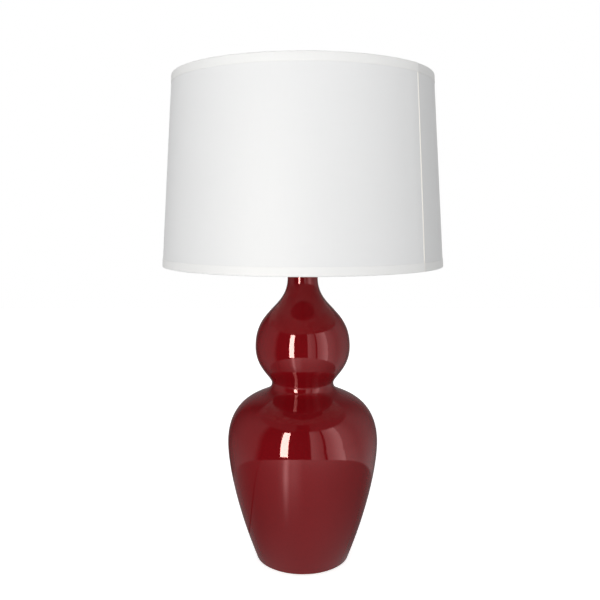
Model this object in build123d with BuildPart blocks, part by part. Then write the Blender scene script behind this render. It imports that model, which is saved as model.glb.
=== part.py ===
"""Double gourd table lamp: ceramic body, drum shade on a harp, turn-knob socket and bulb.

Millimetres. +Z is up, the front is -Y, and the origin is the centre of the underside.
"""

import os
from itertools import pairwise
from math import hypot, radians, sqrt, tan

from build123d import *

# ---------------------------------------------------------------- driving dimensions

# Ceramic body, outside: radii, and the rise from each station to the next
pad_thick = 1.2           # felt under the foot
foot_r = 72.4
foot_band = 0.8           # bare clay between the felt and the glaze
foot_edge_r = 75.1        # where the foot's rounded edge meets the flank
foot_edge_rise = 3.0
flank_flare = 0.38        # outward run of the flank for each unit of rise, at the foot
flank_low_pull = 85.0     # curve handles, along the tangent at each station
flank_high_pull = 33.0
belly_r = 119.3
belly_rise = 187.3
shoulder_low_pull = 53.0
shoulder_crest_in = 28.6  # the crest of the shoulder, inward from the belly
shoulder_crest_drop = 12.4
waist_low_pull = 22.6
waist_r = 48.7
waist_rise = 95.3
waist_high_pull = 11.4
bulge_low_pull = 34.4
bulge_r = 74.4
bulge_rise = 58.4
bulge_high_pull = 61.6
neck_low_pull = 50.0
neck_r = 23.3
neck_rise = 109.7
neck_length = 18.4
mouth_round = 2.0

# Ceramic body, inside
body_wall = 6.0
recess_r = 62.0           # hollow under the foot
recess_depth = 18.8
recess_corner = 4.0
floor_thick = 9.0
felt_inset = 1.2

# Cord outlet in the back of the foot
cord_rise = 9.8           # above the felt
cord_hole_r = 5.0
bushing_bore_r = 3.5
bushing_seat_depth = 0.6  # flat cut into the round recess wall
bushing_flange_r = 7.5
bushing_flange_thick = 1.5
bushing_stand_out = 1.2
bushing_slack = 0.2

# Threaded pipe that holds the lamp together
pipe_r = 5.15
pipe_bore_r = 3.3
pipe_slack = 0.1
pipe_tail = 3.5           # below the hex nut
pipe_in_socket = 9.0
pipe_mouth_wall = 0.95    # left round the wider mouth that takes the bushing
pipe_bushing_wall = 0.6
pipe_bushing_depth = 4.0
pipe_bushing_flange = 1.4

# Washers and nut under the floor
rubber_washer_r = 17.0
rubber_washer_thick = 2.0
steel_washer_r = 16.0
steel_washer_thick = 1.6
lock_washer_wall = 3.4
lock_washer_thick = 1.6
lock_washer_slit = 1.6
hex_nut_wall = 2.0        # from the thread to the flats
hex_nut_thick = 4.8

# Brass on the neck
cap_metal = 1.2
cap_lip = 2.6
cap_slack = 0.2
cap_dome = 8.0
cap_top_r = 9.5
check_ring_r = 11.5
check_ring_thick = 3.0
check_ring_round = 1.2
spacer_wall = 3.0
spacer_length = 14.3

# Harp and its saddle
saddle_metal = 1.6
saddle_width = 12.7
saddle_bend = 1.6
saddle_corner = 3.2
saddle_boss_r = 9.5
saddle_plate_half = 20.0
tab_width = 6.0
tab_height = 10.0
seat_gap = 0.3            # between pieces that lift off each other
harp_wire_r = 2.0
harp_foot_half = 31.0     # half the distance between the two legs at the saddle
harp_half = 57.0
harp_height = 241.3       # from the saddle to the seat of the shade
harp_knee_run = 35.5      # straight leg above the raised ferrule
harp_flare_rise = 46.0
harp_crown_drop = 62.0
harp_crown_half = 26.0
bend_share = 0.45         # part of the shorter run that each bend takes up
wire_end_chamfer = 1.0
ferrule_wall = 1.1
ferrule_taper = 2.2
ferrule_collar = 2.0
ferrule_travel = 14.0
running_gap = 0.08        # radial play of a turning or sliding fit

# Top of the harp: clip, seat and stud
clip_wall = 2.0
clip_half = 8.0
clip_neck_r = 4.5
seat_r = 8.5
seat_thick = 2.0
stud_r = 3.1
stud_length = 13.5
stud_chamfer = 0.6

# Socket, measured up from the saddle
hub_wall = 2.8
hub_height = 7.5
set_screw_r = 1.6
set_screw_rise = 3.8
set_screw_length = 4.2
sheet_brass = 0.8
cap_rim_rise = 22.0
cap_cup_rise = 15.0
shell_tuck = 5.5          # how far the shell slides into the cap
shell_top_rise = 60.0
shell_bead = 0.8
liner_board = 0.8
shell_play = 0.1
screw_shell_metal = 0.5
screw_shell_room = 2.5    # air between the screw shell and the card liner
screw_shell_rise = 57.0
socket_floor_rise = 17.0
socket_deck_rise = 33.0
socket_block_gap = 1.6
block_flange = 3.0
block_edge = 0.8
terminal_rise = 9.5
contact_r = 4.0
contact_thick = 1.8
terminal_flat = 3.4
terminal_head_r = 3.2
terminal_head_thick = 1.8
terminal_shank_r = 1.5
terminal_shank_length = 3.0
terminal_slot = 0.8

# Switch
stem_r = 2.2
stem_rise = 27.5
stem_in_block = 9.0
knob_r = 6.5
knob_length = 12.0
knob_standoff = 4.5
knob_flutes = 12
knob_flute_r = 0.9
knob_edge = 0.8
knob_cover = 3.0          # knob material over the stem's end
stem_slot_play = 0.8

# Bulb, with its standard 26 mm screw base
base_r = 12.9
base_thread_depth = 0.5
base_thread_pitch = 3.6
base_threads = 5
base_plain = 2.0
base_metal = 0.5
tip_r = 4.6
tip_thick = 1.7
insulator_thick = 4.0
glass_r = 30.0
glass_length = 84.0       # above the metal base
glass_in_base = 12.0
glass_wall = 1.0
glass_neck_pull = 20.0
glass_globe_pull = 30.0

# Shade
shade_bottom_r = 215.4
shade_top_r = 196.1
shade_height = 283.4
fabric_thick = 0.6
liner_thick = 0.8
trim_thick = 0.5
trim_width = 12.5
trim_tuck = 6.5           # how far a trim reaches down inside
lap_width = 13.0
lap_bearing = 48.2        # where the lap starts: degrees from the front, towards +X
ring_wire_r = 1.5
ring_play = 0.1
arm_r = 1.6
arm_bearings = (90.0, 210.0, 330.0)
arm_drop_run = 24.0
spider_drop = 15.9        # from the shade's top edge to the washer's underside
spider_washer_r = 14.0
spider_washer_thick = 2.0
spider_hole_r = 3.5

# Finial
finial_height = 30.0
finial_foot_r = 7.0
finial_foot_thick = 2.4
finial_neck_r = 4.4
finial_neck_rise = 8.0
finial_ball_r = 9.4
finial_tip_r = 2.2
stud_bore_extra = 1.0

# ---------------------------------------------------------------- heights and fits

foot_z = pad_thick
glaze_z = foot_z + foot_band
foot_edge_z = glaze_z + foot_edge_rise
belly_z = foot_edge_z + belly_rise
waist_z = belly_z + waist_rise
bulge_z = waist_z + bulge_rise
neck_z = bulge_z + neck_rise
neck_top = neck_z + neck_length
recess_top = foot_z + recess_depth
floor_top = recess_top + floor_thick
cord_z = foot_z + cord_rise

cap_top = neck_top + cap_dome
spacer_z = cap_top + check_ring_thick
saddle_under = spacer_z + spacer_length
saddle_top = saddle_under + saddle_metal
shade_seat = saddle_top + harp_height
crown_z = shade_seat - seat_thick - clip_wall - harp_wire_r

pipe_hole_r = pipe_r + pipe_slack
rubber_washer_z = recess_top - rubber_washer_thick
steel_washer_z = rubber_washer_z - steel_washer_thick
lock_washer_z = steel_washer_z - lock_washer_thick
hex_nut_z = lock_washer_z - hex_nut_thick
pipe_bottom = hex_nut_z - pipe_tail
pipe_top = saddle_top + pipe_in_socket
pipe_mouth_r = pipe_r - pipe_mouth_wall
pipe_mouth_z = pipe_top - pipe_bushing_depth

screw_shell_r = base_r + seat_gap
screw_shell_outer = screw_shell_r + screw_shell_metal
card_r = screw_shell_outer + screw_shell_room
shell_inner = card_r + liner_board + shell_play
shell_outer = shell_inner + sheet_brass
cup_inner = shell_outer + shell_play
cup_outer = cup_inner + sheet_brass
hub_r = pipe_hole_r + hub_wall
socket_block_r = card_r - socket_block_gap
deck_z = saddle_top + socket_deck_rise
shell_top = saddle_top + shell_top_rise
stem_z = saddle_top + stem_rise
terminal_z = saddle_top + socket_floor_rise + block_flange + terminal_rise / 2

tip_z = deck_z + contact_thick + seat_gap
insulator_z = tip_z + tip_thick
base_z = insulator_z + insulator_thick
base_top = base_z + base_threads * base_thread_pitch + base_plain
glass_top = base_top + glass_length

washer_under = shade_seat + seat_gap
washer_top = washer_under + spider_washer_thick
shade_top = washer_under + spider_drop
shade_bottom = shade_top - shade_height
shade_slope = (shade_bottom_r - shade_top_r) / shade_height
skin_thick = fabric_thick + liner_thick
ring_top_z = shade_top - trim_thick - ring_play - ring_wire_r
ring_bottom_z = shade_bottom + trim_thick + ring_play + ring_wire_r

finial_z = washer_top + seat_gap
stud_top = shade_seat + stud_length


def shade_r(z):
    """Outer radius of the shade's fabric at a height."""
    return shade_top_r + shade_slope * (shade_top - z)


# ---------------------------------------------------------------- outlines

def inset(controls, depth):
    """Curve controls moved inward, each leg of their polygon square to itself."""
    points = [Vector(*point) for point in controls]
    legs = [(end - start).normalized() for start, end in pairwise(points)]
    normals = [Vector(-leg.Y, leg.X) for leg in legs]
    normals = [normals[0], *normals, normals[-1]]
    return [
        point + (before + after) * (depth / (1 + before.dot(after)))
        for point, (before, after) in zip(points, pairwise(normals))
    ]


def gourd_curves(depth=0.0):
    """The body's four curves from foot to neck, at a depth below the surface."""
    foot = (foot_edge_r, foot_edge_z)
    foot_pull = (foot_edge_r + flank_flare * flank_low_pull, foot_edge_z + flank_low_pull)
    belly = (belly_r, belly_z)
    crest = (belly_r - shoulder_crest_in, waist_z - shoulder_crest_drop)
    waist = (waist_r, waist_z)
    bulge = (bulge_r, bulge_z)
    neck = (neck_r, neck_z)
    flank = [foot, foot_pull, (belly_r, belly_z - flank_high_pull), belly]
    shoulder = [
        belly,
        (belly_r, belly_z + shoulder_low_pull),
        crest,
        (waist_r, waist_z - waist_low_pull),
        waist,
    ]
    lower_bulge = [
        waist,
        (waist_r, waist_z + waist_high_pull),
        (bulge_r, bulge_z - bulge_low_pull),
        bulge,
    ]
    upper_bulge = [
        bulge,
        (bulge_r, bulge_z + bulge_high_pull),
        (neck_r, neck_z - neck_low_pull),
        neck,
    ]
    return [inset(curve, depth) for curve in (flank, shoulder, lower_bulge, upper_bulge)]


def bend_radii(points):
    """A radius for each inner corner of a bent wire, from the shorter run beside it."""
    runs = [Vector(*end) - Vector(*start) for start, end in pairwise(points)]
    return [
        bend_share * min(before.length, after.length) / tan(radians(before.get_angle(after)) / 2)
        for before, after in pairwise(runs)
    ]


# ---------------------------------------------------------------- ceramic body

flank_r_at_cord = foot_edge_r + flank_flare * (cord_z - foot_edge_z)
bushing_seat = recess_r + bushing_seat_depth
bushing_end = flank_r_at_cord + bushing_stand_out

with BuildPart() as gourd_body:
    with BuildSketch(Plane.XZ):
        with BuildLine():
            Polyline((0, neck_top), (0, foot_z), (foot_r, foot_z), (foot_r, glaze_z))
            Bezier(
                (foot_r, glaze_z),
                (foot_edge_r - flank_flare * foot_edge_rise, glaze_z),
                (foot_edge_r, foot_edge_z),
            )
            for curve in gourd_curves():
                Bezier(*curve)
            Line((neck_r, neck_z), (neck_r, neck_top - mouth_round))
            CenterArc((neck_r - mouth_round, neck_top - mouth_round), mouth_round, 0, 90)
            Line((neck_r - mouth_round, neck_top), (0, neck_top))
        make_face()
    revolve(axis=Axis.Z)

    with BuildSketch(Plane.XZ):
        with BuildLine():
            inner = gourd_curves(body_wall)
            for curve in inner:
                Bezier(*curve)
            Polyline(
                inner[-1][-1],
                (neck_r - body_wall, neck_top),
                (0, neck_top),
                (0, inner[0][0].Y),
                inner[0][0],
            )
        make_face()
        with Locations((0, floor_top)):
            Rectangle(
                2 * belly_r,
                neck_top - floor_top,
                align=(Align.CENTER, Align.MIN),
                mode=Mode.INTERSECT,
            )
    revolve(axis=Axis.Z, mode=Mode.SUBTRACT)

    with BuildSketch(Plane.XZ):
        with Locations((0, foot_z)):
            Rectangle(recess_r, recess_depth, align=Align.MIN)
        fillet(vertices().sort_by(Axis.X)[-2:].sort_by(Axis.Y)[-1], recess_corner)
    revolve(axis=Axis.Z, mode=Mode.SUBTRACT)

    with BuildSketch(Plane.XY.offset(recess_top)):
        Circle(pipe_hole_r + bushing_slack)
    extrude(amount=floor_thick, mode=Mode.SUBTRACT)

    with BuildSketch(Plane.XZ.offset(-bushing_seat)):
        with Locations((0, cord_z)):
            Circle(bushing_flange_r + bushing_slack)
    extrude(amount=bushing_flange_r, mode=Mode.SUBTRACT)
    with BuildSketch(Plane.XZ.offset(-bushing_seat)):
        with Locations((0, cord_z)):
            Circle(cord_hole_r)
    extrude(amount=-(belly_r - bushing_seat), mode=Mode.SUBTRACT)

with BuildPart() as felt_ring:
    with BuildSketch():
        Circle(foot_r - felt_inset)
        Circle(recess_r + felt_inset, mode=Mode.SUBTRACT)
    extrude(amount=pad_thick)

with BuildPart() as cord_bushing:
    with BuildSketch(Plane.XZ.offset(-bushing_seat)):
        with Locations((0, cord_z)):
            Circle(bushing_flange_r)
    extrude(amount=bushing_flange_thick)
    with BuildSketch(Plane.XZ.offset(-bushing_seat)):
        with Locations((0, cord_z)):
            Circle(cord_hole_r - bushing_slack)
    extrude(amount=bushing_seat - bushing_end)
    with BuildSketch(Plane.XZ.offset(-bushing_end)):
        with Locations((0, cord_z)):
            Circle(bushing_bore_r)
    extrude(amount=bushing_end, mode=Mode.SUBTRACT)

# ---------------------------------------------------------------- pipe, washers and nut

ON_BASE = (Align.CENTER, Align.CENTER, Align.MIN)

with BuildPart(Plane.XY.offset(pipe_bottom)) as lamp_pipe:
    Cylinder(pipe_r, pipe_top - pipe_bottom, align=ON_BASE)
    Hole(pipe_bore_r)
    with Locations((0, 0, pipe_mouth_z - pipe_bottom)):
        Cylinder(pipe_mouth_r, pipe_bushing_depth, align=ON_BASE, mode=Mode.SUBTRACT)

with BuildPart(Plane.XY.offset(rubber_washer_z)) as rubber_washer:
    Cylinder(rubber_washer_r, rubber_washer_thick, align=ON_BASE)
    Hole(pipe_hole_r)

with BuildPart(Plane.XY.offset(steel_washer_z)) as steel_washer:
    Cylinder(steel_washer_r, steel_washer_thick, align=ON_BASE)
    Hole(pipe_hole_r)

with BuildPart(Plane.XY.offset(lock_washer_z)) as lock_washer:
    Cylinder(pipe_hole_r + lock_washer_wall, lock_washer_thick, align=ON_BASE)
    Hole(pipe_hole_r)
    with Locations((pipe_hole_r + lock_washer_wall / 2, 0)):
        Box(2 * lock_washer_wall, lock_washer_slit, lock_washer_thick, align=ON_BASE, mode=Mode.SUBTRACT)

with BuildPart() as hex_nut:
    with BuildSketch(Plane.XY.offset(hex_nut_z)):
        RegularPolygon(pipe_hole_r + hex_nut_wall, 6, major_radius=False)
        Circle(pipe_hole_r, mode=Mode.SUBTRACT)
    extrude(amount=hex_nut_thick)

with BuildPart(Plane.XY.offset(pipe_top)) as pipe_bushing:
    Cylinder(pipe_r, pipe_bushing_flange, align=ON_BASE)
    plug_r = pipe_mouth_r - pipe_slack
    Cylinder(plug_r, pipe_bushing_depth, align=(Align.CENTER, Align.CENTER, Align.MAX))
    Hole(plug_r - pipe_bushing_wall)

# ---------------------------------------------------------------- brass on the neck

cap_inner_r = neck_r + cap_slack
cap_outer_r = cap_inner_r + cap_metal

with BuildPart() as vase_cap:
    with BuildSketch(Plane.XZ):
        with BuildLine():
            under_top = cap_top - cap_metal
            Polyline(
                (pipe_hole_r, under_top),
                (cap_top_r, under_top),
                (neck_r - 2 * mouth_round, neck_top),
                (cap_inner_r, neck_top),
                (cap_inner_r, neck_top - cap_lip),
                (cap_outer_r, neck_top - cap_lip),
                (cap_outer_r, neck_top + cap_metal / 2),
            )
            Bezier(
                (cap_outer_r, neck_top + cap_metal / 2),
                (cap_outer_r, neck_top + cap_metal + cap_dome / 4),
                (cap_top_r + cap_metal, cap_top - cap_dome / 4),
                (cap_top_r, cap_top),
            )
            Polyline((cap_top_r, cap_top), (pipe_hole_r, cap_top), (pipe_hole_r, under_top))
        make_face()
    revolve(axis=Axis.Z)

with BuildPart(Plane.XY.offset(cap_top)) as check_ring:
    Cylinder(check_ring_r, check_ring_thick, align=ON_BASE)
    fillet(edges().filter_by(GeomType.CIRCLE), check_ring_round)
    Hole(pipe_hole_r)

with BuildPart(Plane.XY.offset(spacer_z)) as neck_spacer:
    Cylinder(pipe_hole_r + spacer_wall, spacer_length, align=ON_BASE)
    Hole(pipe_hole_r)

# ---------------------------------------------------------------- harp

tab_inner = harp_foot_half + harp_wire_r + seat_gap
tab_outer = tab_inner + saddle_metal
ferrule_bore = hypot(tab_outer - harp_foot_half, tab_width / 2) + seat_gap

with BuildPart() as harp_saddle:
    with BuildSketch(Plane.XZ):
        with Locations((0, saddle_under)):
            Rectangle(2 * tab_outer, tab_height + saddle_metal, align=(Align.CENTER, Align.MIN))
        with Locations((0, saddle_top)):
            Rectangle(2 * tab_inner, tab_height, align=(Align.CENTER, Align.MIN), mode=Mode.SUBTRACT)
        corners = vertices().group_by(Axis.Y)
        fillet(corners[0], saddle_bend + saddle_metal)
        fillet(vertices().group_by(Axis.Y)[-2], saddle_bend)
    extrude(amount=tab_width / 2, both=True)
    with BuildSketch(Plane.XY.offset(saddle_under)):
        Rectangle(2 * saddle_plate_half, saddle_width)
        fillet(vertices(), saddle_corner)
        Circle(saddle_boss_r)
    extrude(amount=saddle_metal)
    with BuildSketch(Plane.XY.offset(saddle_under)):
        Circle(pipe_hole_r)
    extrude(amount=saddle_metal, mode=Mode.SUBTRACT)

ferrule_top = tab_height + seat_gap + ferrule_taper + ferrule_collar
leg_top = saddle_top + ferrule_top + ferrule_travel + harp_knee_run
flare_top = leg_top + harp_flare_rise
harp_right = [
    (harp_foot_half, saddle_top + seat_gap),
    (harp_foot_half, leg_top),
    (harp_half, flare_top),
    (harp_half, crown_z - harp_crown_drop),
    (harp_crown_half, crown_z),
]
harp_route = [(-x, z) for x, z in harp_right] + harp_right[::-1]

with BuildPart() as harp_wire:
    with BuildLine(Plane.XZ):
        FilletPolyline(*harp_route, radius=bend_radii(harp_route))
    with BuildSketch(Plane.XY.offset(saddle_top + seat_gap)):
        with Locations((-harp_foot_half, 0)):
            Circle(harp_wire_r)
    sweep()
    chamfer(faces().group_by(Axis.Z)[0].edges(), wire_end_chamfer)

with BuildPart() as harp_top:
    with BuildSketch(Plane.YZ.offset(-clip_half)):
        with Locations((0, crown_z)):
            Circle(harp_wire_r + clip_wall)
    extrude(amount=2 * clip_half)
    with BuildSketch(Plane.XY.offset(crown_z)):
        Circle(clip_neck_r)
    extrude(amount=harp_wire_r + clip_wall)
    with BuildSketch(Plane.XY.offset(shade_seat - seat_thick)):
        Circle(seat_r)
    extrude(amount=seat_thick)
    with BuildSketch(Plane.XY.offset(shade_seat)):
        Circle(stud_r)
    extrude(amount=stud_length)
    chamfer(faces().sort_by(Axis.Z)[-1].edges(), stud_chamfer)
    add(harp_wire.part, mode=Mode.SUBTRACT)


def ferrule(side):
    """The collar on one leg of the harp, round the wire and the saddle's tab."""
    low = saddle_top + seat_gap
    bore_top = saddle_top + tab_height + seat_gap
    collar_z = bore_top + ferrule_taper
    top = collar_z + ferrule_collar
    wire_hole = harp_wire_r + running_gap
    with BuildPart() as collar:
        with BuildSketch(Plane.XZ):
            with BuildLine():
                Polyline(
                    (ferrule_bore, low),
                    (ferrule_bore + ferrule_wall, low),
                    (ferrule_bore + ferrule_wall, bore_top + ferrule_wall),
                    (wire_hole + ferrule_wall, top),
                    (wire_hole, top),
                    (wire_hole, collar_z),
                    (ferrule_bore, bore_top),
                    close=True,
                )
            make_face()
        revolve(axis=Axis.Z)
    collar.part = collar.part.moved(Location((side * harp_foot_half, 0, 0)))
    return collar


ferrule_left = ferrule(-1)
ferrule_right = ferrule(1)

# ---------------------------------------------------------------- socket

cup_floor = saddle_top + hub_height
cup_z = saddle_top + cap_cup_rise
cap_rim = saddle_top + cap_rim_rise
shell_low = cap_rim - shell_tuck
block_z = saddle_top + socket_floor_rise
flat_x = socket_block_r - terminal_flat

with BuildPart() as socket_cap:
    with BuildSketch(Plane.XZ):
        with BuildLine():
            inner_floor = cup_floor + sheet_brass
            Polyline(
                (pipe_hole_r, inner_floor),
                (pipe_hole_r, saddle_top),
                (hub_r, saddle_top),
                (hub_r, cup_floor),
            )
            Bezier((hub_r, cup_floor), (cup_outer, cup_floor), (cup_outer, cup_z))
            Polyline(
                (cup_outer, cup_z),
                (cup_outer, cap_rim),
                (cup_inner, cap_rim),
                (cup_inner, cup_z),
            )
            Bezier((cup_inner, cup_z), (cup_inner, inner_floor), (hub_r, inner_floor))
            Line((hub_r, inner_floor), (pipe_hole_r, inner_floor))
        make_face()
    revolve(axis=Axis.Z)
    with BuildSketch(Plane.XZ.offset(-pipe_hole_r)):
        with Locations((0, saddle_top + set_screw_rise)):
            Circle(set_screw_r)
    extrude(amount=-hub_wall, mode=Mode.SUBTRACT)

with BuildPart() as cap_set_screw:
    with BuildSketch(Plane.XZ.offset(-pipe_hole_r)):
        with Locations((0, saddle_top + set_screw_rise)):
            Circle(set_screw_r)
    extrude(amount=-set_screw_length)
    with BuildSketch(Plane.XZ.offset(-pipe_hole_r - set_screw_length)):
        with Locations((0, saddle_top + set_screw_rise)):
            Rectangle(2 * set_screw_r, terminal_slot)
    extrude(amount=terminal_slot, mode=Mode.SUBTRACT)


def stem_slot(low):
    """The open-ended slot for the switch's stem, cut in the front of a sleeve."""
    slot_r = stem_r + stem_slot_play
    with BuildPart() as slot:
        with BuildSketch(Plane.XZ):
            with Locations((0, stem_z)):
                Circle(slot_r)
                Rectangle(2 * slot_r, stem_z - low, align=(Align.CENTER, Align.MAX))
        extrude(amount=2 * cup_outer)
    return slot.part


with BuildPart() as socket_shell:
    with BuildSketch(Plane.XZ):
        with BuildLine():
            Polyline(
                (shell_inner, shell_low),
                (shell_outer, shell_low),
                (shell_outer, shell_top - 2 * shell_bead),
                (shell_outer + shell_bead, shell_top - shell_bead),
                (shell_outer, shell_top),
                (shell_inner, shell_top),
                close=True,
            )
        make_face()
    revolve(axis=Axis.Z)
    add(stem_slot(shell_low), mode=Mode.SUBTRACT)

with BuildPart() as shell_insulator:
    with BuildSketch(Plane.XY.offset(shell_low)):
        Circle(card_r + liner_board)
        Circle(card_r, mode=Mode.SUBTRACT)
    extrude(amount=shell_top - shell_low - shell_bead)
    add(stem_slot(shell_low), mode=Mode.SUBTRACT)

with BuildPart(Plane.XY.offset(block_z)) as socket_body:
    Cylinder(socket_block_r, deck_z - block_z, align=ON_BASE)
    chamfer(edges().filter_by(GeomType.CIRCLE).sort_by(Axis.Z)[-1], block_edge)
    for side in (-1, 1):
        with Locations((side * socket_block_r, 0, block_flange)):
            Box(2 * terminal_flat, 2 * socket_block_r, terminal_rise, align=ON_BASE, mode=Mode.SUBTRACT)
    Cylinder(card_r - shell_play, block_flange, align=ON_BASE)
    with BuildSketch(Plane.XZ.offset(socket_block_r - stem_in_block)):
        with Locations((0, stem_z)):
            Circle(stem_r + running_gap)
    extrude(amount=stem_in_block, mode=Mode.SUBTRACT)
    for side in (-1, 1):
        with BuildSketch(Plane.YZ.offset(side * flat_x)):
            with Locations((0, terminal_z)):
                Circle(terminal_shank_r)
        extrude(amount=-side * terminal_shank_length, mode=Mode.SUBTRACT)

with BuildPart() as terminal_screws:
    with BuildSketch(Plane.YZ.offset(flat_x)):
        with Locations((0, terminal_z)):
            Circle(terminal_head_r)
    extrude(amount=terminal_head_thick)
    with BuildSketch(Plane.YZ.offset(flat_x)):
        with Locations((0, terminal_z)):
            Circle(terminal_shank_r)
    extrude(amount=-terminal_shank_length)
    with BuildSketch(Plane.YZ.offset(flat_x + terminal_head_thick)):
        with Locations((0, terminal_z)):
            Rectangle(2 * terminal_head_r, terminal_slot)
    extrude(amount=-terminal_slot, mode=Mode.SUBTRACT)
    mirror(about=Plane.YZ)

with BuildPart(Plane.XY.offset(deck_z)) as screw_shell:
    Cylinder(screw_shell_outer, screw_shell_rise - socket_deck_rise, align=ON_BASE)
    Hole(screw_shell_r)

with BuildPart(Plane.XY.offset(deck_z)) as centre_contact:
    Cylinder(contact_r, contact_thick, align=ON_BASE)
    fillet(edges().filter_by(GeomType.CIRCLE).sort_by(Axis.Z)[-1], contact_thick / 2)

# ---------------------------------------------------------------- switch

knob_face = shell_outer + knob_standoff
stem_start = socket_block_r - stem_in_block + seat_gap
stem_end = knob_face + knob_length - knob_cover

with BuildPart() as switch_stem:
    with BuildSketch(Plane.XZ.offset(stem_start)):
        with Locations((0, stem_z)):
            Circle(stem_r)
    extrude(amount=stem_end - stem_start)

with BuildPart() as switch_knob:
    with BuildSketch(Plane.XZ.offset(knob_face)):
        with Locations((0, stem_z)):
            Circle(knob_r)
            with PolarLocations(knob_r, knob_flutes):
                Circle(knob_flute_r, mode=Mode.SUBTRACT)
    extrude(amount=knob_length)
    chamfer(faces().sort_by(Axis.Y)[0].edges(), knob_edge)
    add(switch_stem.part, mode=Mode.SUBTRACT)

# ---------------------------------------------------------------- bulb

base_root_r = base_r - base_thread_depth
base_inner_r = base_root_r - base_metal

with BuildPart() as bulb_contact:
    with BuildSketch(Plane.XY.offset(tip_z)):
        Circle(tip_r)
    extrude(amount=tip_thick)
    fillet(edges().sort_by(Axis.Z)[0], tip_thick / 2)

with BuildPart() as bulb_insulator:
    with BuildSketch(Plane.XZ):
        with BuildLine():
            Polyline(
                (0, insulator_z),
                (tip_r, insulator_z),
                (base_root_r, base_z),
                (0, base_z),
                close=True,
            )
        make_face()
    revolve(axis=Axis.Z)

with BuildPart() as bulb_base:
    with BuildSketch(Plane.XZ):
        with BuildLine():
            for turn in range(base_threads):
                low = base_z + turn * base_thread_pitch
                ThreePointArc(
                    (base_root_r, low),
                    (base_r, low + base_thread_pitch / 2),
                    (base_root_r, low + base_thread_pitch),
                )
            Polyline(
                (base_root_r, base_top - base_plain),
                (base_root_r, base_top),
                (base_inner_r, base_top),
                (base_inner_r, base_z),
                (base_root_r, base_z),
            )
        make_face()
    revolve(axis=Axis.Z)

globe_z = glass_top - glass_r
stalk_r = base_inner_r - shell_play
stalk_z = base_top - glass_in_base


def glass_outline(depth):
    """Half of the bulb's outline, from the stalk to the crown, at a depth below the surface."""
    swell = [
        (stalk_r, base_top),
        (stalk_r, base_top + glass_neck_pull),
        (glass_r, globe_z - glass_globe_pull),
        (glass_r, globe_z),
    ]
    return inset(swell, depth)


with BuildPart() as bulb_glass:
    for depth, mode in ((0, Mode.ADD), (glass_wall, Mode.SUBTRACT)):
        with BuildSketch(Plane.XZ):
            with BuildLine():
                swell = glass_outline(depth)
                Polyline((0, stalk_z), (stalk_r - depth, stalk_z), swell[0])
                Bezier(*swell)
                CenterArc((0, globe_z), glass_r - depth, 0, 90)
                Line((0, glass_top - depth), (0, stalk_z))
            make_face()
        revolve(axis=Axis.Z, mode=mode)

# ---------------------------------------------------------------- shade


def skin(low, high, outside, inside):
    """A slanted band of the shade's wall, between two depths below the fabric's face."""
    return Polyline(
        (shade_r(low) - inside, low),
        (shade_r(low) - outside, low),
        (shade_r(high) - outside, high),
        (shade_r(high) - inside, high),
        close=True,
    )


cloth_low = shade_bottom + trim_thick
cloth_high = shade_top - trim_thick
lap_plane = Plane.XZ.rotated((0, 0, lap_bearing - 90))

with BuildPart() as shade_fabric:
    with BuildSketch(Plane.XZ):
        with BuildLine():
            skin(cloth_low, cloth_high, 0, fabric_thick)
        make_face()
    revolve(axis=Axis.Z)
    with BuildSketch(lap_plane):
        with BuildLine():
            skin(cloth_low + trim_width, cloth_high - trim_width, -fabric_thick, 0)
        make_face()
    revolve(axis=Axis.Z, revolution_arc=lap_width / radians(shade_bottom_r))

with BuildPart() as shade_liner:
    with BuildSketch(Plane.XZ):
        with BuildLine():
            skin(cloth_low, cloth_high, fabric_thick, skin_thick)
        make_face()
    revolve(axis=Axis.Z)

wire_depth = skin_thick + ring_wire_r + ring_play

with BuildPart(Plane.XY.offset(ring_top_z)) as top_ring:
    Torus(shade_r(ring_top_z) - wire_depth, ring_wire_r)

with BuildPart(Plane.XY.offset(ring_bottom_z)) as bottom_ring:
    Torus(shade_r(ring_bottom_z) - wire_depth, ring_wire_r)

arm_z = washer_top - arm_r
arm_end_r = shade_r(ring_top_z) - wire_depth
arm_route = [
    (spider_washer_r - arm_r, arm_z),
    (arm_end_r - arm_drop_run, arm_z),
    (arm_end_r, ring_top_z),
]

with BuildPart() as spider:
    with BuildSketch(Plane.XY.offset(washer_under)):
        Circle(spider_washer_r)
    extrude(amount=spider_washer_thick)
    for bearing in arm_bearings:
        arm_plane = Plane.XZ.rotated((0, 0, bearing))
        with BuildLine(arm_plane) as arm_line:
            FilletPolyline(*arm_route, radius=bend_radii(arm_route))
        with BuildSketch(Plane(arm_line.line @ 0, z_dir=arm_line.line % 0)):
            Circle(arm_r)
        sweep(path=arm_line.line)
    with BuildSketch(Plane.XY.offset(washer_under)):
        Circle(spider_hole_r)
    extrude(amount=spider_washer_thick, mode=Mode.SUBTRACT)
    add(top_ring.part, mode=Mode.SUBTRACT)


def trim(edge, up):
    """A fabric band folded over one edge of the shade, up or down, and round its wire."""
    tuck_depth = wire_depth + ring_wire_r + ring_play
    hem = edge - up * trim_width
    tuck = edge - up * trim_tuck
    fold = edge - up * trim_thick
    with BuildPart() as band:
        with BuildSketch(Plane.XZ):
            with BuildLine():
                Polyline(
                    (shade_r(hem), hem),
                    (shade_r(hem) + trim_thick, hem),
                    (shade_r(edge) + trim_thick, edge),
                    (shade_r(edge) - tuck_depth - trim_thick, edge),
                    (shade_r(tuck) - tuck_depth - trim_thick, tuck),
                    (shade_r(tuck) - tuck_depth, tuck),
                    (shade_r(fold) - tuck_depth, fold),
                    (shade_r(fold), fold),
                    close=True,
                )
            make_face()
        revolve(axis=Axis.Z)
        add(spider.part, mode=Mode.SUBTRACT)
    return band


top_trim = trim(shade_top, 1)
bottom_trim = trim(shade_bottom, -1)

# ---------------------------------------------------------------- finial

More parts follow.
